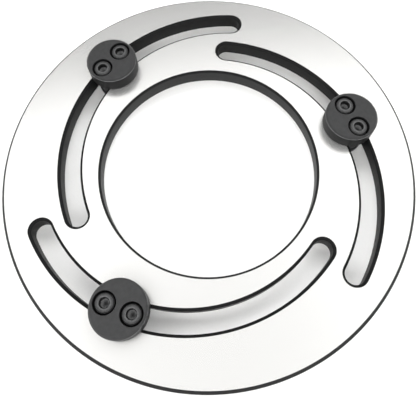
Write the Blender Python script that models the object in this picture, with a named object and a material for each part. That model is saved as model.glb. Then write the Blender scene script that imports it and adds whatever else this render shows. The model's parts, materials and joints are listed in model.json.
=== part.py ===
"""Adjustable boring ring for the soft jaws of a three-jaw lathe chuck.

A flat ring has three curved slots. Each slot holds a button unit: a round button above the
ring, a locating pin below it whose key fits the slot, and two cap screws that clamp the ring
between them. With its screws eased, a unit slides along its slot, which is an arc, so the unit
turns about the centre of that arc.

Metres, +Z up. The origin is at the ring's centre, level with the ends of the pins.
"""

from math import cos, pi, radians, sin

import bmesh
import bpy
from mathutils import Vector

MM = 0.001
GAP = 0.3 * MM  # running and assembly clearance between neighbouring pieces

# Ring
RING_RADIUS = 100 * MM
BORE_RADIUS = 52.7 * MM
RING_THICKNESS = 10 * MM
RIM_CHAMFER = 1.5 * MM
BORE_CHAMFER = 1 * MM
RING_SEGMENTS = 96

# Slots: arcs whose centres lie off the ring's centre, so a slot runs from near the rim inwards
SLOT_COUNT = 3
SLOT_CENTRE_OFFSET = 11 * MM
SLOT_CENTRE_BEARING = radians(-88.5)
SLOT_RADIUS = 77.3 * MM
SLOT_WIDTH = 9.5 * MM
SLOT_CHAMFER = 1.3 * MM
SLOT_START = radians(-31.5)
SLOT_END = radians(83.5)
SLOT_SEGMENTS = 22
SLOT_END_SEGMENTS = 8

# Where each unit stands along its slot, as an angle about the slot's own centre
UNIT_ANGLES = (radians(25.8), radians(20.6), radians(8.9))

# Locating pin, with its key
PIN_RADIUS = 10.5 * MM
PIN_DROP = 5 * MM  # how far the pin reaches below the ring
PIN_CHAMFER = 0.8 * MM
KEY_LENGTH = 20 * MM
KEY_HEIGHT_BELOW_FACE = 0.6 * MM  # how far the key stops short of the ring's top face
KEY_ARC_SEGMENTS = 5
KEY_END_SEGMENTS = 8
PIN_SEGMENTS = 40

# Button
BUTTON_RADIUS = 12.7 * MM
BUTTON_RISE = 9.3 * MM  # top of the button above the ring's top face
BUTTON_CHAMFER = 0.9 * MM
BUTTON_FOOT_CHAMFER = 0.3 * MM
BUTTON_SEGMENTS = 48

# M5 cap screws
SCREW_SPACING = 12.7 * MM
SCREW_RADIUS = 2.5 * MM
SCREW_LENGTH = 16 * MM
SCREW_POINT_CHAMFER = 0.6 * MM
HEAD_RADIUS = 4.25 * MM
HEAD_HEIGHT = 5 * MM
HEAD_CHAMFER = 0.5 * MM
SOCKET_ACROSS_FLATS = 4 * MM
SOCKET_DEPTH = 2.5 * MM
COUNTERBORE_RADIUS = 5.1 * MM
COUNTERBORE_DEPTH = 5.7 * MM
SCREW_SEGMENTS = 24

# Heights that follow from the above
RING_BOTTOM = PIN_DROP
RING_TOP = RING_BOTTOM + RING_THICKNESS
BUTTON_BOTTOM = RING_TOP + GAP
BUTTON_TOP = RING_TOP + BUTTON_RISE
COUNTERBORE_FLOOR = BUTTON_TOP - COUNTERBORE_DEPTH
HEAD_BOTTOM = COUNTERBORE_FLOOR + GAP
KEY_TOP = RING_TOP - KEY_HEIGHT_BELOW_FACE
KEY_HALF_WIDTH = SLOT_WIDTH / 2 - GAP
HOLE_RADIUS = SCREW_RADIUS + GAP
OVERRUN = 1 * MM  # how far a cutter runs past the face that it cuts through

COLOURS = {
    "ground_steel": ((0.78, 0.78, 0.77), 0.28, 1.0),
    "black_oxide": ((0.055, 0.057, 0.058), 0.42, 0.75),
    "screw_black": ((0.075, 0.076, 0.078), 0.36, 0.8),
}


def clear_scene():
    for obj in list(bpy.data.objects):
        bpy.data.objects.remove(obj, do_unlink=True)


def material(name, finish):
    colour, roughness, metallic = COLOURS[finish]
    made = bpy.data.materials.new(name)
    made.use_nodes = True
    shader = made.node_tree.nodes["Principled BSDF"]
    shader.inputs["Base Color"].default_value = (*colour, 1)
    shader.inputs["Roughness"].default_value = roughness
    shader.inputs["Metallic"].default_value = metallic
    made.diffuse_color = (*colour, 1)
    return made


def polar(radius, angle, z, centre=(0, 0)):
    return Vector((centre[0] + radius * cos(angle), centre[1] + radius * sin(angle), z))


def arc(radius, start, end, steps, z, centre=(0, 0)):
    """Points along an arc, without its last one."""
    return [polar(radius, start + (end - start) * i / steps, z, centre) for i in range(steps)]


def circle(radius, z, segments, centre=(0, 0)):
    return arc(radius, 0, 2 * pi, segments, z, centre)


def slot_shape(half_width, start, end, z, arc_steps, end_steps):
    """Outline of a curved slot or key: two arcs about the origin, joined by round ends."""
    outline = arc(SLOT_RADIUS + half_width, start, end, arc_steps, z)
    far = polar(SLOT_RADIUS, end, z)
    outline += arc(half_width, end, end + pi, end_steps, z, far)
    outline += arc(SLOT_RADIUS - half_width, end, start, arc_steps, z)
    near = polar(SLOT_RADIUS, start, z)
    outline += arc(half_width, start + pi, start + 2 * pi, end_steps, z, near)
    return outline


def skin(name, loops, ring=False):
    """Mesh object through loops of equally many points, closed by caps or, for a ring, on itself."""
    bm = bmesh.new()
    rows = [[bm.verts.new(point) for point in loop] for loop in loops]
    pairs = list(zip(rows, rows[1:]))
    if ring:
        pairs.append((rows[-1], rows[0]))
    else:
        bm.faces.new(rows[0])
        bm.faces.new(rows[-1])
    for low, high in pairs:
        for i in range(len(low)):
            j = (i + 1) % len(low)
            bm.faces.new((low[i], low[j], high[j], high[i]))
    bmesh.ops.recalc_face_normals(bm, faces=bm.faces)
    mesh = bpy.data.meshes.new(name)
    bm.to_mesh(mesh)
    bm.free()
    obj = bpy.data.objects.new(name, mesh)
    bpy.context.scene.collection.objects.link(obj)
    return obj


def turned(name, profile, segments, centre=(0, 0), ring=False):
    """Turned shape from (radius, height) pairs."""
    return skin(name, [circle(radius, z, segments, centre) for radius, z in profile], ring)


def cut(obj, cutter):
    """Subtracts the cutter, which stays in the file as a hidden helper."""
    cutter.hide_render = True
    cutter.display_type = "WIRE"
    boolean = obj.modifiers.new(cutter.name, "BOOLEAN")
    boolean.operation = "DIFFERENCE"
    boolean.solver = "EXACT"
    boolean.object = cutter


def join(obj, other):
    """Adds a shape that overlaps the object. The added shape stays as a hidden helper."""
    other.hide_render = True
    other.display_type = "WIRE"
    boolean = obj.modifiers.new(other.name, "BOOLEAN")
    boolean.operation = "UNION"
    boolean.solver = "EXACT"
    boolean.object = other


def finish(obj, finish_name):
    obj.data.materials.append(material(obj.name, finish_name))
    obj.data.shade_smooth()
    obj.data.set_sharp_from_angle(angle=radians(30))


def slot_centre(index):
    bearing = SLOT_CENTRE_BEARING + index * 2 * pi / SLOT_COUNT
    return polar(SLOT_CENTRE_OFFSET, bearing, 0)


def slot_cutter(index):
    """Slot with both its edges chamfered: its walls flare out past the ring's two faces."""
    half = SLOT_WIDTH / 2
    flare = half + SLOT_CHAMFER + OVERRUN
    levels = (
        (flare, RING_BOTTOM - OVERRUN),
        (half, RING_BOTTOM + SLOT_CHAMFER),
        (half, RING_TOP - SLOT_CHAMFER),
        (flare, RING_TOP + OVERRUN),
    )
    loops = [
        slot_shape(width, SLOT_START, SLOT_END, z, SLOT_SEGMENTS, SLOT_END_SEGMENTS)
        for width, z in levels
    ]
    cutter = skin(f"slot_cutter_{index + 1}", loops)
    cutter.location = slot_centre(index)
    cutter.rotation_euler.z = index * 2 * pi / SLOT_COUNT
    return cutter


def ring_plate():
    profile = (
        (BORE_RADIUS, RING_BOTTOM + BORE_CHAMFER),
        (BORE_RADIUS + BORE_CHAMFER, RING_BOTTOM),
        (RING_RADIUS - RIM_CHAMFER, RING_BOTTOM),
        (RING_RADIUS, RING_BOTTOM + RIM_CHAMFER),
        (RING_RADIUS, RING_TOP - RIM_CHAMFER),
        (RING_RADIUS - RIM_CHAMFER, RING_TOP),
        (BORE_RADIUS + BORE_CHAMFER, RING_TOP),
        (BORE_RADIUS, RING_TOP - BORE_CHAMFER),
    )
    plate = turned("ring_plate", profile, RING_SEGMENTS, ring=True)
    for index in range(SLOT_COUNT):
        cut(plate, slot_cutter(index))
    finish(plate, "ground_steel")


def unit_pivot(index):
    """Empty on the joint's axis, at the slot's centre. Its X axis points at the unit."""
    pivot = bpy.data.objects.new(f"unit_pivot_{index + 1}", None)
    bpy.context.scene.collection.objects.link(pivot)
    pivot.location = slot_centre(index)
    pivot.rotation_euler.z = index * 2 * pi / SLOT_COUNT + UNIT_ANGLES[index]
    return pivot


def screw_places():
    """Centres of a unit's two screws: (letter, place), along the slot on each side of the unit."""
    half = SCREW_SPACING / 2
    return ("a", (SLOT_RADIUS, -half)), ("b", (SLOT_RADIUS, half))


def button(number, pivot):
    profile = (
        (BUTTON_RADIUS - BUTTON_FOOT_CHAMFER, BUTTON_BOTTOM),
        (BUTTON_RADIUS, BUTTON_BOTTOM + BUTTON_FOOT_CHAMFER),
        (BUTTON_RADIUS, BUTTON_TOP - BUTTON_CHAMFER),
        (BUTTON_RADIUS - BUTTON_CHAMFER, BUTTON_TOP),
    )
    body = turned(f"button_{number}", profile, BUTTON_SEGMENTS, (SLOT_RADIUS, 0))
    hole = (
        (HOLE_RADIUS, BUTTON_BOTTOM - OVERRUN),
        (HOLE_RADIUS, COUNTERBORE_FLOOR),
        (COUNTERBORE_RADIUS, COUNTERBORE_FLOOR),
        (COUNTERBORE_RADIUS, BUTTON_TOP + OVERRUN),
    )
    for letter, place in screw_places():
        cutter = turned(f"button_hole_{number}{letter}", hole, SCREW_SEGMENTS, place)
        cutter.parent = pivot
        cut(body, cutter)
    body.parent = pivot
    finish(body, "black_oxide")


def pin_key(number):
    """The part of the locating pin that slides in the slot."""
    half_angle = (KEY_LENGTH / 2 - KEY_HALF_WIDTH) / SLOT_RADIUS
    loops = [
        slot_shape(KEY_HALF_WIDTH, -half_angle, half_angle, z, KEY_ARC_SEGMENTS, KEY_END_SEGMENTS)
        for z in (RING_BOTTOM - GAP - OVERRUN, KEY_TOP)
    ]
    return skin(f"pin_key_{number}", loops)


def locating_pin(number, pivot):
    profile = (
        (PIN_RADIUS - PIN_CHAMFER, 0),
        (PIN_RADIUS, PIN_CHAMFER),
        (PIN_RADIUS, RING_BOTTOM - GAP),
    )
    pin = turned(f"locating_pin_{number}", profile, PIN_SEGMENTS, (SLOT_RADIUS, 0))
    key = pin_key(number)
    key.parent = pivot
    join(pin, key)
    hole = ((HOLE_RADIUS, -OVERRUN), (HOLE_RADIUS, KEY_TOP + OVERRUN))
    for letter, place in screw_places():
        cutter = turned(f"pin_hole_{number}{letter}", hole, SCREW_SEGMENTS, place)
        cutter.parent = pivot
        cut(pin, cutter)
    pin.parent = pivot
    finish(pin, "black_oxide")


def cap_screw(label, place, pivot):
    tip = HEAD_BOTTOM - SCREW_LENGTH
    head_top = HEAD_BOTTOM + HEAD_HEIGHT
    profile = (
        (SCREW_RADIUS - SCREW_POINT_CHAMFER, tip),
        (SCREW_RADIUS, tip + SCREW_POINT_CHAMFER),
        (SCREW_RADIUS, HEAD_BOTTOM),
        (HEAD_RADIUS, HEAD_BOTTOM),
        (HEAD_RADIUS, head_top - HEAD_CHAMFER),
        (HEAD_RADIUS - HEAD_CHAMFER, head_top),
    )
    screw = turned(f"cap_screw_{label}", profile, SCREW_SEGMENTS, place)
    corner_radius = SOCKET_ACROSS_FLATS / 2 / cos(pi / 6)
    socket = ((corner_radius, head_top - SOCKET_DEPTH), (corner_radius, head_top + OVERRUN))
    cutter = turned(f"socket_cutter_{label}", socket, 6, place)
    cutter.parent = pivot
    cut(screw, cutter)
    screw.parent = pivot
    finish(screw, "screw_black")


def main():
    clear_scene()
    ring_plate()
    for index in range(SLOT_COUNT):
        number = index + 1
        pivot = unit_pivot(index)
        locating_pin(number, pivot)
        button(number, pivot)
        for letter, place in screw_places():
            cap_screw(f"{number}{letter}", place, pivot)


main()
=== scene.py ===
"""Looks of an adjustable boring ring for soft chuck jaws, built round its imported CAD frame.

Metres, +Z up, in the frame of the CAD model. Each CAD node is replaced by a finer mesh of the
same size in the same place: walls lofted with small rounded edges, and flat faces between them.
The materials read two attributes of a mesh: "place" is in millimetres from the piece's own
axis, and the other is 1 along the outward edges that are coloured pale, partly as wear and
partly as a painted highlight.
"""

import json
from math import cos, pi, radians, sin, tan

import bmesh
import bpy
from mathutils import Matrix, Vector


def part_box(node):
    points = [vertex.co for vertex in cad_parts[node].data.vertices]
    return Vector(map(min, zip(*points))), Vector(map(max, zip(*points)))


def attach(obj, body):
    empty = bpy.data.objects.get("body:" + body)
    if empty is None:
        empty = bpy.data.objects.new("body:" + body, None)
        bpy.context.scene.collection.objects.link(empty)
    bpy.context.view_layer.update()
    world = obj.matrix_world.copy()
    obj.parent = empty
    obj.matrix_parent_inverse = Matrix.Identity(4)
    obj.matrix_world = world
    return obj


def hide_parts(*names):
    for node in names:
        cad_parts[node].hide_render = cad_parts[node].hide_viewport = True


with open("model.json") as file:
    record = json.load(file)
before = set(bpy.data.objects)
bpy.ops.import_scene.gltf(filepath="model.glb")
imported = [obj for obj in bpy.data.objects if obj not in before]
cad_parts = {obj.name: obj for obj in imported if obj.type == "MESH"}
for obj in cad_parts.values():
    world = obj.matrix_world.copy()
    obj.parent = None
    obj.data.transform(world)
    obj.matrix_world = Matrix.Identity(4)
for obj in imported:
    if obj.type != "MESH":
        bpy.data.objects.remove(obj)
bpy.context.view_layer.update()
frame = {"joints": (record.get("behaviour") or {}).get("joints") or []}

MM = 0.001

# Ring
RING_LOW, RING_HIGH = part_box("ring_plate")
RING_RADIUS = RING_HIGH.x
RING_TOP = RING_HIGH.z
RING_BOTTOM = RING_LOW.z
BORE_RADIUS = 52.7 * MM
RIM_CHAMFER = 1.5 * MM
BORE_CHAMFER = 1 * MM
RING_ROUND = 0.15 * MM  # radius that each chamfer's edges are broken to
RING_SEGMENTS = 288
BORE_SEGMENTS = 216

# Slots: arcs about the joints' axes, given by the angles of the centres of their round ends
SLOT_WIDTH = 9.5 * MM
SLOT_CHAMFER = 1.3 * MM
SLOT_START = radians(-31.5)
SLOT_END = radians(83.5)
SLOT_STEPS = (84, 24)  # faces along each arc and round each end

# Button units, one in each slot: a button, a keyed pin below it, and two screws
UNITS = (1, 2, 3)
BUTTON_LOW, BUTTON_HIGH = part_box("button_1")
BUTTON_TOP = BUTTON_HIGH.z
BUTTON_BOTTOM = BUTTON_LOW.z
BUTTON_RADIUS = 12.7 * MM
BUTTON_CHAMFER = 0.9 * MM
BUTTON_FOOT_CHAMFER = 0.3 * MM
UNIT_SEGMENTS = 144
UNIT_ROUND = 0.25 * MM  # radius that the buttons' and pins' edges are broken to
PIN_LOW, PIN_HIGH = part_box("locating_pin_1")
PIN_BOTTOM = PIN_LOW.z
PIN_RADIUS = 10.5 * MM
PIN_CHAMFER = 0.8 * MM
PIN_TOP_CHAMFER = 0.4 * MM
FLANGE_TOP = RING_BOTTOM - 0.3 * MM
KEY_TOP = PIN_HIGH.z
KEY_LENGTH = 20 * MM
KEY_HALF_WIDTH = 4.45 * MM
KEY_CHAMFER = 0.3 * MM
KEY_STEPS = (20, 24)  # faces along each arc and round each end

# M5 cap screws
SCREW_LOW, SCREW_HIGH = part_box("cap_screw_1a")
SCREW_TIP = SCREW_LOW.z
SCREW_RADIUS = 2.5 * MM
SCREW_SPACING = 12.7 * MM
SCREW_PLACES = {"a": (0, -SCREW_SPACING / 2), "b": (0, SCREW_SPACING / 2)}
HEAD_TOP = SCREW_HIGH.z
HEAD_BOTTOM = HEAD_TOP - 5 * MM
HEAD_RADIUS = 4.25 * MM
HEAD_CHAMFER = 0.5 * MM
HEAD_ROUND = 0.15 * MM
KNURL_BOTTOM = HEAD_BOTTOM + 0.4 * MM
KNURL_TOP = HEAD_TOP - 0.8 * MM
KNURL_DEPTH = 0.11 * MM
KNURL_TEETH = 48
HEAD_SEGMENTS = 2 * KNURL_TEETH
SOCKET_ACROSS_FLATS = 4 * MM
SOCKET_BOTTOM = HEAD_TOP - 2.5 * MM
SOCKET_LEAD_IN = 0.12 * MM  # how far the countersink reaches past the hexagon's corners
SOCKET_LEAD_SLOPE = tan(radians(55))
SOCKET_TURNS = {"1a": 12, "1b": 40, "2a": 25, "2b": 3, "3a": 50, "3b": 31}  # degrees
DRILL_RADIUS = SOCKET_ACROSS_FLATS / 2 * 0.93
DRILL_SLOPE = tan(radians(30))
DRILL_TIP = 0.1  # part of the drill's radius that its cone narrows to
THREAD_PITCH = 0.8 * MM
THREAD_DEPTH = 0.43 * MM
THREAD_ROWS_PER_PITCH = 6
THREAD_SEGMENTS = 24

# Screw holes in the buttons and pins
COUNTERBORE_RADIUS = 5.1 * MM
COUNTERBORE_FLOOR = HEAD_BOTTOM - 0.3 * MM
COUNTERBORE_CHAMFER = 0.15 * MM
CLEARANCE_RADIUS = 2.8 * MM
TAPPED_RADIUS = 2.55 * MM
HOLE_CHAMFER = 0.3 * MM
HOLE_SEGMENTS = 72

# Meshes
FAR = 1.0  # any distance well past a profile's ends
ROUND_STEPS = 4  # faces across each rounded edge
CHAMFER_ROWS = 2 * ROUND_STEPS + 1  # faces across a chamfer and its two rounded edges
SHARP_ANGLE = radians(34)  # edges that turn more than this are shaded crisp
PALE_EDGE_FROM = radians(6)  # turn of the surface at which the pale edge begins: partly wear, partly painted highlight
PALE_EDGE_FULL = radians(9)

# Surfaces
NOISE_RANGE = (0.3, 0.7)  # holds nearly all values of a noise
NOISE_ROUGHNESS = 0.55
SCRATCH_DEPTH = 0.0003 * MM
LAY_DEPTH = 0.00015 * MM
GRAIN_DEPTH = 0.004 * MM
TURNING_DEPTH = 0.006 * MM
PAPER_DEPTH = 0.02 * MM
PAPER_SCALE = 900.0  # features to a metre

# Camera and floor
CAMERA_PLACE = Vector((5.41, -85.51, 248.19)) * MM
CAMERA_TILT = 0.4064  # radians from straight down
CAMERA_ROLL = 0.0033
CAMERA_SENSOR = 36  # millimetres
CAMERA_LENS = 43.85
CAMERA_SHIFT = (-0.0222, -0.1488)
CAMERA_NEAREST = 0.01
FLOOR_HALF = 2.0
FLOOR_HEIGHT = -0.02 * MM

# Sky. A direction's slope from straight up, which is 1 at 45 degrees, decides how bright it is
LOWEST_RISE = 0.02  # keeps the slope finite at the horizon and below it
PANEL_SKEW = 0.15  # how much further ahead the panel reaches for each unit to its right
PANEL_SQUEEZE = 0.5  # the panel's depth as a part of its width
PANEL_EDGE = (0.61, 0.67)
PANEL_STRENGTH = 1.4
STAND_EDGE = (0.2, 0.5)
STAND_SHADE = 0.67  # taken off the panel's strength straight up
HORIZON_EDGE = (1.2, 1.8)
HORIZON_STRENGTH = 0.8
SKY_COLOUR = (1.0, 0.995, 0.985, 1)

# Softboxes: place, size and watts
SOFTBOXES = {
    "softbox_behind": ((-0.03, 0.38, 0.82), (1.4, 0.45), 9),
    "softbox_front": ((0.0, -0.42, 0.5), (0.7, 0.2), 3),
    "softbox_left": ((-0.63, -0.19, 0.62), (0.45, 0.5), 1.5),
    "softbox_right": ((0.63, -0.19, 0.62), (0.45, 0.5), 1.5),
}


# Outlines and profiles


def polar(radius, angle, z, centre=(0, 0)):
    return Vector((centre[0] + radius * cos(angle), centre[1] + radius * sin(angle), z))


def arc(radius, start, end, steps, z, centre=(0, 0)):
    """Points along an arc, without its last one."""
    return [polar(radius, start + (end - start) * i / steps, z, centre) for i in range(steps)]


def circle(radius, z, segments, centre=(0, 0)):
    return arc(radius, 0, 2 * pi, segments, z, centre)


def circles(profile, segments, centre=(0, 0)):
    """A circle at each radius and height of a profile."""
    return [circle(radius, z, segments, centre) for radius, z in profile]


def slot_shape(radius, half_width, start, end, z, steps, centre=(0, 0)):
    """Outline of a curved slot or key. steps are those along its arcs and round its ends."""
    along, around = steps
    far = polar(radius, end, z, centre)
    near = polar(radius, start, z, centre)
    outline = arc(radius + half_width, start, end, along, z, centre)
    outline += arc(half_width, end, end + pi, around, z, far)
    outline += arc(radius - half_width, end, start, along, z, centre)
    outline += arc(half_width, start + pi, start + 2 * pi, around, z, near)
    return outline


def rounded(profile, radius):
    """Profile with an arc at each inner corner. Its two end points only give directions."""
    points = []
    for before, corner, after in zip(profile, profile[1:], profile[2:]):
        corner = Vector(corner)
        back = (Vector(before) - corner).normalized()
        ahead = (Vector(after) - corner).normalized()
        half = back.angle(ahead) / 2
        reach = radius / tan(half)
        centre = corner + (back + ahead).normalized() * radius / sin(half)
        start = corner + back * reach - centre
        end = corner + ahead * reach - centre
        for step in range(ROUND_STEPS + 1):
            spoke = start.lerp(end, step / ROUND_STEPS).normalized()
            points.append(centre + spoke * radius)
    return points


# Meshes


class Shell:
    """A closed mesh in the making. Finishes are indices of the piece's materials: real finishes
    on the ring, and on the buttons, pins and screws a darker second copy that paints shade.
    """

    def __init__(self):
        self.mesh = bmesh.new()
        self.unmarked = set()

    def wall(self, loops, finish=0, rows_finished=None, rows_unmarked=()):
        """Faces between loops of equally many points. Returns the first and the last loop.

        The finish can be kept to some of the rows of faces, and the others get finish 0.
        The pale edges, partly wear and partly painted highlight, can be kept off some rows.
        """
        rows = [[self.mesh.verts.new(point) for point in loop] for loop in loops]
        for row, (low, high) in enumerate(zip(rows, rows[1:])):
            for i in range(len(low)):
                j = (i + 1) % len(low)
                face = self.mesh.faces.new((low[i], low[j], high[j], high[i]))
                if rows_finished is None or row in rows_finished:
                    face.material_index = finish
                if row in rows_unmarked:
                    self.unmarked.add(face)
        return rows[0], rows[-1]

    def flat(self, *rims):
        """Flat face inside the first rim and outside the others, with a crisp edge all round."""
        edges = []
        for rim in rims:
            for start, end in zip(rim, rim[1:] + rim[:1]):
                edge = self.mesh.edges.get((start, end))
                edge.smooth = False
                edges.append(edge)
        made = bmesh.ops.triangle_fill(
            self.mesh, edges=edges, use_beauty=True, normal=(0, 0, 1)
        )
        for face in made["geom"]:
            if isinstance(face, bmesh.types.BMFace):
                self.unmarked.add(face)

    def finish(self, name, piece_materials, axis=(0, 0), place_in_frame=None):
        """The object. Its place attribute is in millimetres from the axis."""
        bmesh.ops.recalc_face_normals(self.mesh, faces=self.mesh.faces)
        for edge in self.mesh.edges:
            if edge.calc_face_angle() > SHARP_ANGLE:
                edge.smooth = False
        # Outward edges get a mask for a paler colour: partly wear, partly a painted highlight.
        wear_and_highlight = self.mesh.loops.layers.float.new("wear_and_highlight")
        for face in self.mesh.faces:
            face.smooth = True
            if face not in self.unmarked:
                for loop in face.loops:
                    loop[wear_and_highlight] = edge_wear_and_highlight(loop.vert)
        mesh = bpy.data.meshes.new(name)
        self.mesh.to_mesh(mesh)
        self.mesh.free()
        place = mesh.attributes.new("place", "FLOAT_VECTOR", "POINT")
        origin = Vector((*axis, 0))
        for vertex, value in zip(mesh.vertices, place.data):
            value.vector = (vertex.co - origin) / MM
        if place_in_frame:
            mesh.transform(place_in_frame)
        for material in piece_materials:
            mesh.materials.append(material)
        obj = bpy.data.objects.new(name, mesh)
        bpy.context.scene.collection.objects.link(obj)
        return obj


def edge_wear_and_highlight(vertex):
    """1 where the surface turns outwards sharply, and 0 where it is flat or turns inwards."""
    turn = max(edge.calc_face_angle_signed() for edge in vertex.link_edges)
    return min(max((turn - PALE_EDGE_FROM) / (PALE_EDGE_FULL - PALE_EDGE_FROM), 0), 1)


def stand_in(obj, node, body):
    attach(obj, body)
    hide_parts(node)


# Materials


def fill_sockets(tree, sockets, values):
    """Each value goes into its socket as it is, or by a link if it is another node's output."""
    for socket, value in zip(sockets, values):
        if isinstance(value, bpy.types.NodeSocket):
            tree.links.new(value, socket)
        else:
            socket.default_value = value


def add_node(tree, kind, **inputs):
    """Node of a kind. An input's name is written with _ for a space."""
    node = tree.nodes.new(kind)
    sockets = [node.inputs[name.replace("_", " ")] for name in inputs]
    fill_sockets(tree, sockets, inputs.values())
    return node


def math_node(tree, operation, *values):
    node = tree.nodes.new("ShaderNodeMath")
    node.operation = operation
    fill_sockets(tree, node.inputs, values)
    return node.outputs[0]


def map_range(tree, value, source, target, smooth=False):
    node = add_node(
        tree,
        "ShaderNodeMapRange",
        Value=value,
        From_Min=source[0],
        From_Max=source[1],
        To_Min=target[0],
        To_Max=target[1],
    )
    if smooth:
        node.interpolation_type = "SMOOTHSTEP"
    return node.outputs["Result"]


def mix_colours(tree, factor, first, second):
    """Mix of two colours. The first can be another node's output."""
    node = tree.nodes.new("ShaderNodeMix")
    node.data_type = "RGBA"
    if not isinstance(first, bpy.types.NodeSocket):
        first = (*first, 1)
    colour_inputs = node.inputs[6:8]
    fill_sockets(tree, (node.inputs["Factor"], *colour_inputs), (factor, first, (*second, 1)))
    return node.outputs[2]


def place_of(tree):
    """Where on its piece a point is, in millimetres from the piece's axis."""
    node = tree.nodes.new("ShaderNodeAttribute")
    node.attribute_name = "place"
    return node.outputs["Vector"]


def noise(tree, vector, scale, detail, stretch=None):
    """Noise from 0 to 1, with scale features to a millimetre, stretched along axes if asked."""
    if stretch:
        vector = add_node(tree, "ShaderNodeMapping", Vector=vector, Scale=stretch).outputs[0]
    node = add_node(
        tree,
        "ShaderNodeTexNoise",
        Vector=vector,
        Scale=scale,
        Detail=detail,
        Roughness=NOISE_ROUGHNESS,
    )
    return node.outputs[0]


def bump(tree, height, depth, normal=None):
    """Normal of a surface whose height runs over a depth in metres."""
    node = add_node(tree, "ShaderNodeBump", Height=height, Distance=depth, Strength=1.0)
    if normal:
        tree.links.new(normal, node.inputs["Normal"])
    return node.outputs["Normal"]


def new_material(name, metallic, specular=0.5):
    material = bpy.data.materials.new(name)
    material.use_nodes = True
    shader = material.node_tree.nodes["Principled BSDF"]
    shader.inputs["Metallic"].default_value = metallic
    shader.inputs["Specular IOR Level"].default_value = specular
    return material, material.node_tree, shader


def dress(tree, shader, colour, roughness, normal):
    tree.links.new(colour, shader.inputs["Base Color"])
    tree.links.new(roughness, shader.inputs["Roughness"])
    tree.links.new(normal, shader.inputs["Normal"])


def ground_steel():
    """Surface-ground steel: fine straight lay along X, and faint broad unevenness."""
    material, tree, shader = new_material("ground_steel", metallic=0.85)
    place = place_of(tree)
    lay = noise(tree, place, 1.0, detail=4.0, stretch=(0.03, 3.0, 1.0))
    scratches = noise(tree, place, 1.0, detail=2.0, stretch=(0.012, 1.1, 1.0))
    patches = noise(tree, place, 0.03, detail=2.0)
    grain = mix_colours(tree, lay, (0.91, 0.91, 0.9), (0.94, 0.94, 0.93))
    tarnish = map_range(tree, patches, NOISE_RANGE, (0.0, 0.3))
    colour = mix_colours(tree, tarnish, grain, (0.91, 0.905, 0.89))
    roughness = map_range(tree, scratches, NOISE_RANGE, (0.26, 0.272))
    normal = bump(tree, scratches, SCRATCH_DEPTH, bump(tree, lay, LAY_DEPTH))
    dress(tree, shader, colour, roughness, normal)
    return material


def grey(value):
    """Nearly neutral grey, a little blue."""
    return value, value * 1.01, value * 1.03


def oxide(name, dark, light, wear_and_highlight_grey, shine, specular, turned=True):
    """Black oxide on steel: mottled grey, cutter lines round the axis, and pale edges that are
    partly wear, partly painted highlight.
    """
    material, tree, shader = new_material(name, metallic=0.0, specular=specular)
    place = place_of(tree)
    mottle = noise(tree, place, 0.45, detail=4.0)
    mottled = map_range(tree, mottle, NOISE_RANGE, (0.0, 1.0))
    colour = mix_colours(tree, mottled, grey(dark), grey(light))
    # Outward edges are paler: partly wear, partly a painted highlight.
    edge = tree.nodes.new("ShaderNodeAttribute")
    edge.attribute_name = "wear_and_highlight"
    edge_noise = noise(tree, place, 1.3, detail=3.0)
    edge_patches = map_range(tree, edge_noise, (0.35, 0.6), (0.35, 1.0))
    wear_and_highlight = math_node(tree, "MULTIPLY", edge.outputs["Fac"], edge_patches)
    colour = mix_colours(tree, wear_and_highlight, colour, grey(wear_and_highlight_grey))
    grain = noise(tree, place, 6.0, detail=2.0)
    roughness = map_range(tree, mottle, NOISE_RANGE, (shine, shine + 0.08))
    normal = bump(tree, grain, GRAIN_DEPTH)
    if turned:
        normal = bump(tree, turning_lines(tree, place), TURNING_DEPTH, normal)
    dress(tree, shader, colour, roughness, normal)
    return material


def distance(tree, x, y):
    squares = [math_node(tree, "POWER", value, 2.0) for value in (x, y)]
    return math_node(tree, "SQRT", math_node(tree, "ADD", *squares))


def turning_lines(tree, place):
    """Fine uneven lines round the piece's axis, on its faces and along its walls."""
    x, y, z = add_node(tree, "ShaderNodeSeparateXYZ", Vector=place).outputs
    along = math_node(tree, "ADD", distance(tree, x, y), z)
    line = add_node(tree, "ShaderNodeCombineXYZ", X=along)
    return noise(tree, line.outputs[0], 4.5, detail=2.0)


def floor_material():
    """Pale matt paper with a barely visible tooth."""
    material, tree, shader = new_material("studio_floor", metallic=0.0, specular=0.2)
    where = tree.nodes.new("ShaderNodeTexCoord").outputs["Object"]
    paper = add_node(
        tree, "ShaderNodeTexNoise", Vector=where, Scale=PAPER_SCALE, Detail=2.0
    )
    tooth = paper.outputs[0]
    colour = mix_colours(tree, tooth, (0.86, 0.86, 0.855), (0.9, 0.9, 0.895))
    roughness = map_range(tree, tooth, (0.0, 1.0), (0.85, 0.95))
    dress(tree, shader, colour, roughness, bump(tree, tooth, PAPER_DEPTH))
    return material


# Pieces


def joint_place(number):
    """Where the axis of a unit's joint crosses the floor's plane, in two dimensions."""
    return Vector(frame["joints"][number - 1]["pos_m"][:2])


def unit_centre(number):
    low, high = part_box(f"button_{number}")
    return ((low + high) / 2).xy


def slot_radius(number):
    return (unit_centre(number) - joint_place(number)).length


def unit_frame(number):
    """Frame with its origin below the middle of a unit, and X away from the slot's centre."""
    centre = unit_centre(number)
    outward = centre - joint_place(number)
    turn = Matrix.Rotation(-Vector((1, 0)).angle_signed(outward), 4, "Z")
    return Matrix.Translation((*centre, 0)) @ turn


def ring_wall(edge, chamfer, side):
    """Down a wall of the ring from its top to its bottom. side is 1 if the metal lies inside."""
    inner = edge - side * chamfer
    away = edge - side * FAR
    corners = (
        (away, RING_TOP),
        (inner, RING_TOP),
        (edge, RING_TOP - chamfer),
        (edge, RING_BOTTOM + chamfer),
        (inner, RING_BOTTOM),
        (away, RING_BOTTOM),
    )
    return rounded(corners, RING_ROUND)


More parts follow.
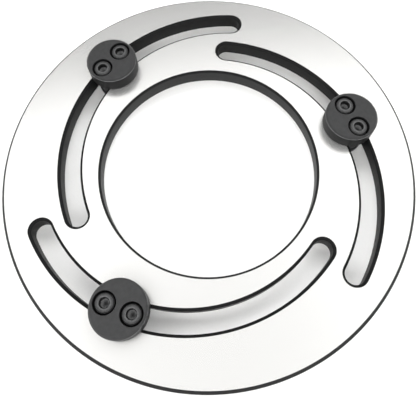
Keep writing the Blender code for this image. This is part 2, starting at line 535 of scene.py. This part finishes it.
def ring_plate(steel, walls):
    shell = Shell()
    rim = ring_wall(RING_RADIUS, RIM_CHAMFER, 1)
    bore = ring_wall(BORE_RADIUS, BORE_CHAMFER, -1)
    slot = ring_wall(SLOT_WIDTH / 2, SLOT_CHAMFER, -1)
    rims = [
        shell.wall(circles(rim, RING_SEGMENTS), finish=1),
        shell.wall(circles(bore, BORE_SEGMENTS), finish=1),
    ]
    for number in UNITS:
        turn = (number - 1) * 2 * pi / len(UNITS)
        ends = (SLOT_START + turn, SLOT_END + turn)
        radius = slot_radius(number)
        centre = joint_place(number)
        loops = [slot_shape(radius, half, *ends, z, SLOT_STEPS, centre) for half, z in slot]
        rims.append(shell.wall(loops, finish=1))
    for rims_of_face in zip(*rims):
        shell.flat(*rims_of_face)
    plate = shell.finish("ground_ring_plate", [steel, walls])
    stand_in(plate, "ring_plate", "ring")


def button(number, piece_materials):
    shell = Shell()
    radius = BUTTON_RADIUS
    side = rounded(
        (
            (0, BUTTON_TOP),
            (radius - BUTTON_CHAMFER, BUTTON_TOP),
            (radius, BUTTON_TOP - BUTTON_CHAMFER),
            (radius, BUTTON_BOTTOM + BUTTON_FOOT_CHAMFER),
            (radius - BUTTON_FOOT_CHAMFER, BUTTON_BOTTOM),
            (0, BUTTON_BOTTOM),
        ),
        UNIT_ROUND,
    )
    hole = rounded(
        (
            (FAR, BUTTON_TOP),
            (COUNTERBORE_RADIUS + COUNTERBORE_CHAMFER, BUTTON_TOP),
            (COUNTERBORE_RADIUS, BUTTON_TOP - COUNTERBORE_CHAMFER),
            (COUNTERBORE_RADIUS, COUNTERBORE_FLOOR),
            (CLEARANCE_RADIUS, COUNTERBORE_FLOOR),
            (CLEARANCE_RADIUS, BUTTON_BOTTOM + HOLE_CHAMFER),
            (CLEARANCE_RADIUS + HOLE_CHAMFER, BUTTON_BOTTOM),
            (FAR, BUTTON_BOTTOM),
        ),
        UNIT_ROUND / 2,
    )
    # Below the top chamfer the side, and all of the screw holes, take the darker copy of the
    # oxide: painted shade.
    outside = shell.wall(
        circles(side, UNIT_SEGMENTS),
        finish=1,
        rows_finished=range(CHAMFER_ROWS, len(side)),
        rows_unmarked=range(ROUND_STEPS),
    )
    rims = [outside]
    for place in SCREW_PLACES.values():
        rims.append(shell.wall(circles(hole, HOLE_SEGMENTS, place), finish=1))
    for rims_of_face in zip(*rims):
        shell.flat(*rims_of_face)
    made = shell.finish(f"turned_button_{number}", piece_materials, place_in_frame=unit_frame(number))
    stand_in(made, f"button_{number}", f"button_unit_{number}")


def locating_pin(number, piece_materials):
    shell = Shell()
    radius = slot_radius(number)
    half_angle = (KEY_LENGTH / 2 - KEY_HALF_WIDTH) / radius
    slot_centre = (-radius, 0)
    flange = rounded(
        (
            (0, FLANGE_TOP),
            (PIN_RADIUS - PIN_TOP_CHAMFER, FLANGE_TOP),
            (PIN_RADIUS, FLANGE_TOP - PIN_TOP_CHAMFER),
            (PIN_RADIUS, PIN_BOTTOM + PIN_CHAMFER),
            (PIN_RADIUS - PIN_CHAMFER, PIN_BOTTOM),
            (0, PIN_BOTTOM),
        ),
        UNIT_ROUND,
    )
    key = rounded(
        (
            (0, KEY_TOP),
            (KEY_HALF_WIDTH - KEY_CHAMFER, KEY_TOP),
            (KEY_HALF_WIDTH, KEY_TOP - KEY_CHAMFER),
            (KEY_HALF_WIDTH, FLANGE_TOP),
            (FAR, FLANGE_TOP),
        ),
        UNIT_ROUND,
    )
    hole = rounded(
        (
            (FAR, KEY_TOP),
            (TAPPED_RADIUS + HOLE_CHAMFER, KEY_TOP),
            (TAPPED_RADIUS, KEY_TOP - HOLE_CHAMFER),
            (TAPPED_RADIUS, PIN_BOTTOM + HOLE_CHAMFER),
            (TAPPED_RADIUS + HOLE_CHAMFER, PIN_BOTTOM),
            (FAR, PIN_BOTTOM),
        ),
        UNIT_ROUND,
    )
    # All walls take the darker copy of the oxide, which is painted shade; the flat faces keep
    # its own grey.
    flange_top, flange_bottom = shell.wall(circles(flange, UNIT_SEGMENTS), finish=1)
    key_loops = [
        slot_shape(radius, half, -half_angle, half_angle, z, KEY_STEPS, slot_centre)
        for half, z in key
    ]
    key_top, key_foot = shell.wall(key_loops, finish=1)
    holes = [
        shell.wall(circles(hole, HOLE_SEGMENTS, place), finish=1)
        for place in SCREW_PLACES.values()
    ]
    upper_rims, lower_rims = zip(*holes)
    shell.flat(key_top, *upper_rims)
    shell.flat(flange_top, key_foot)
    shell.flat(flange_bottom, *lower_rims)
    made = shell.finish(f"keyed_pin_{number}", piece_materials, place_in_frame=unit_frame(number))
    stand_in(made, f"locating_pin_{number}", f"button_unit_{number}")


def knurled(radius, z, depth, place):
    """Ring of teeth whose crests touch a radius."""
    return [
        polar(radius - depth * (i % 2), 2 * pi * i / HEAD_SEGMENTS, z, place)
        for i in range(HEAD_SEGMENTS)
    ]


def hexagon_radius(angle):
    """From the middle to the side of the socket's hexagon, in a direction."""
    sixth = pi / 3
    return SOCKET_ACROSS_FLATS / 2 / cos((angle + sixth / 2) % sixth - sixth / 2)


def socket_loops(turn, place):
    """From the countersink's rim down the hexagon to the drill's point."""
    angles = [2 * pi * i / HEAD_SEGMENTS for i in range(HEAD_SEGMENTS)]
    sides = [(angle, hexagon_radius(angle - turn)) for angle in angles]
    rim = hexagon_radius(pi / 6) + SOCKET_LEAD_IN
    drill_point = (DRILL_RADIUS * DRILL_TIP, SOCKET_BOTTOM - DRILL_RADIUS * DRILL_SLOPE)
    return [
        circle(rim, HEAD_TOP, HEAD_SEGMENTS, place),
        [
            polar(side, angle, HEAD_TOP - (rim - side) * SOCKET_LEAD_SLOPE, place)
            for angle, side in sides
        ],
        [polar(side, angle, SOCKET_BOTTOM, place) for angle, side in sides],
        circle(DRILL_RADIUS, SOCKET_BOTTOM, HEAD_SEGMENTS, place),
        circle(*drill_point, HEAD_SEGMENTS, place),
    ]


def thread_loops(place):
    """Helical thread from the screw's tip up to its head."""
    rows = round((HEAD_BOTTOM - SCREW_TIP) / THREAD_PITCH * THREAD_ROWS_PER_PITCH)
    loops = []
    for row in range(rows + 1):
        z = SCREW_TIP + (HEAD_BOTTOM - SCREW_TIP) * row / rows
        loop = []
        for i in range(THREAD_SEGMENTS):
            angle = 2 * pi * i / THREAD_SEGMENTS
            phase = (z / THREAD_PITCH - i / THREAD_SEGMENTS) % 1
            groove = THREAD_DEPTH * abs(2 * phase - 1)
            crest = min(SCREW_RADIUS, SCREW_RADIUS - THREAD_PITCH + z - SCREW_TIP)
            loop.append(polar(min(SCREW_RADIUS - groove, crest), angle, z, place))
        loops.append(loop)
    return loops


def cap_screw(number, letter, piece_materials):
    shell = Shell()
    label = f"{number}{letter}"
    place = SCREW_PLACES[letter]
    foot = rounded(
        ((0, HEAD_BOTTOM), (HEAD_RADIUS, HEAD_BOTTOM), (HEAD_RADIUS, HEAD_TOP)), HEAD_ROUND
    )
    crown = rounded(
        (
            (HEAD_RADIUS, HEAD_BOTTOM),
            (HEAD_RADIUS, HEAD_TOP - HEAD_CHAMFER),
            (HEAD_RADIUS - HEAD_CHAMFER, HEAD_TOP),
            (0, HEAD_TOP),
        ),
        HEAD_ROUND,
    )
    head = circles(foot, HEAD_SEGMENTS, place)
    head.append(knurled(HEAD_RADIUS, KNURL_BOTTOM, 0, place))
    head.append(knurled(HEAD_RADIUS, KNURL_BOTTOM + KNURL_DEPTH, KNURL_DEPTH, place))
    head.append(knurled(HEAD_RADIUS, KNURL_TOP - KNURL_DEPTH, KNURL_DEPTH, place))
    head.append(knurled(HEAD_RADIUS, KNURL_TOP, 0, place))
    head += circles(crown, HEAD_SEGMENTS, place)
    # The countersink and hexagon walls take a darker copy of the oxide: painted shade in the
    # socket.
    socket_rows_painted_dark = range(len(head), len(head) + 2)
    head += socket_loops(radians(SOCKET_TURNS[label]), place)
    head_foot, socket_end = shell.wall(head, finish=1, rows_finished=socket_rows_painted_dark)
    tip, neck = shell.wall(thread_loops(place))
    shell.flat(head_foot, neck)
    shell.flat(socket_end)
    shell.flat(tip)
    made = shell.finish(f"m5_cap_screw_{label}", piece_materials, place, unit_frame(number))
    stand_in(made, f"cap_screw_{label}", f"button_unit_{number}")


# Studio


def camera():
    data = bpy.data.cameras.new("photo_view")
    data.lens = CAMERA_LENS
    data.sensor_width = CAMERA_SENSOR
    data.shift_x, data.shift_y = CAMERA_SHIFT
    data.clip_start = CAMERA_NEAREST
    obj = bpy.data.objects.new("photo_view", data)
    obj.location = CAMERA_PLACE
    obj.rotation_euler = (CAMERA_TILT, CAMERA_ROLL, 0)
    bpy.context.scene.collection.objects.link(obj)
    bpy.context.scene.camera = obj


def floor():
    half = FLOOR_HALF
    mesh = bpy.data.meshes.new("studio_floor")
    corners = [(-half, -half, 0), (half, -half, 0), (half, half, 0), (-half, half, 0)]
    mesh.from_pydata(corners, [], [(0, 1, 2, 3)])
    mesh.materials.append(floor_material())
    obj = bpy.data.objects.new("studio_floor", mesh)
    obj.location.z = FLOOR_HEIGHT
    bpy.context.scene.collection.objects.link(obj)


def dome():
    """Sky with a white panel overhead, dark beyond it, and paler again near the horizon.

    The panel is wider than deep and hangs a little askew. It is darker straight up, where the
    camera's stand is reflected.
    """
    world = bpy.data.worlds.new("studio_dome")
    world.use_nodes = True
    bpy.context.scene.world = world
    tree = world.node_tree
    background = tree.nodes["Background"]
    direction = tree.nodes.new("ShaderNodeTexCoord").outputs["Generated"]
    x, y, z = add_node(tree, "ShaderNodeSeparateXYZ", Vector=direction).outputs
    rise = math_node(tree, "MAXIMUM", z, LOWEST_RISE)
    across = math_node(tree, "DIVIDE", x, rise)
    ahead = math_node(tree, "DIVIDE", y, rise)
    skew = math_node(tree, "MULTIPLY", across, PANEL_SKEW)
    skewed = math_node(tree, "SUBTRACT", ahead, skew)
    squeezed = math_node(tree, "MULTIPLY", across, PANEL_SQUEEZE)
    from_panel = distance(tree, squeezed, skewed)
    panel = map_range(tree, from_panel, PANEL_EDGE, (PANEL_STRENGTH, 0.0), smooth=True)
    slope = distance(tree, across, ahead)
    horizon = map_range(tree, slope, HORIZON_EDGE, (0.0, HORIZON_STRENGTH))
    shaded = map_range(tree, slope, STAND_EDGE, (STAND_SHADE, 0.0), smooth=True)
    overhead = math_node(tree, "SUBTRACT", panel, shaded)
    strength = math_node(tree, "ADD", overhead, horizon)
    tree.links.new(strength, background.inputs["Strength"])
    background.inputs["Color"].default_value = SKY_COLOUR


def softbox(name, place, size, watts):
    """Area light that faces the origin, and that reflections and the camera don't show."""
    data = bpy.data.lights.new(name, "AREA")
    data.shape = "RECTANGLE"
    data.size, data.size_y = size
    data.energy = watts
    obj = bpy.data.objects.new(name, data)
    obj.location = place
    obj.rotation_euler = Vector(place).to_track_quat("Z", "Y").to_euler()
    obj.visible_glossy = False
    obj.visible_camera = False
    bpy.context.scene.collection.objects.link(obj)


def main():
    walls = oxide("oxide_walls", 0.007, 0.01, wear_and_highlight_grey=0.014, shine=0.42, specular=0.14)
    # The ends and top chamfers keep the oxide's own grey; the sides and screw holes get a darker
    # copy of it, which is painted shade.
    unshaded = oxide("oxide_unshaded", 0.022, 0.03, wear_and_highlight_grey=0.3, shine=0.42, specular=0.3)
    sides = oxide("oxide_sides_painted_shade", 0.009, 0.013, wear_and_highlight_grey=0.08, shine=0.45, specular=0.12)
    screws = oxide(
        "oxide_screws", 0.013, 0.02, wear_and_highlight_grey=0.09, shine=0.3, specular=0.42, turned=False
    )
    # Socket walls get a darker copy of the screws' oxide: painted shade in the recess.
    sockets = oxide(
        "oxide_sockets_painted_shade", 0.003, 0.005, wear_and_highlight_grey=0.006, shine=0.3, specular=0.3, turned=False
    )
    ring_plate(ground_steel(), walls)
    for number in UNITS:
        button(number, [unshaded, sides])
        locating_pin(number, [unshaded, sides])
        for letter in SCREW_PLACES:
            cap_screw(number, letter, [screws, sockets])
    floor()
    dome()
    for name, (place, size, watts) in SOFTBOXES.items():
        softbox(name, place, size, watts)
    camera()
    bpy.context.scene.view_settings.view_transform = "Standard"


main()
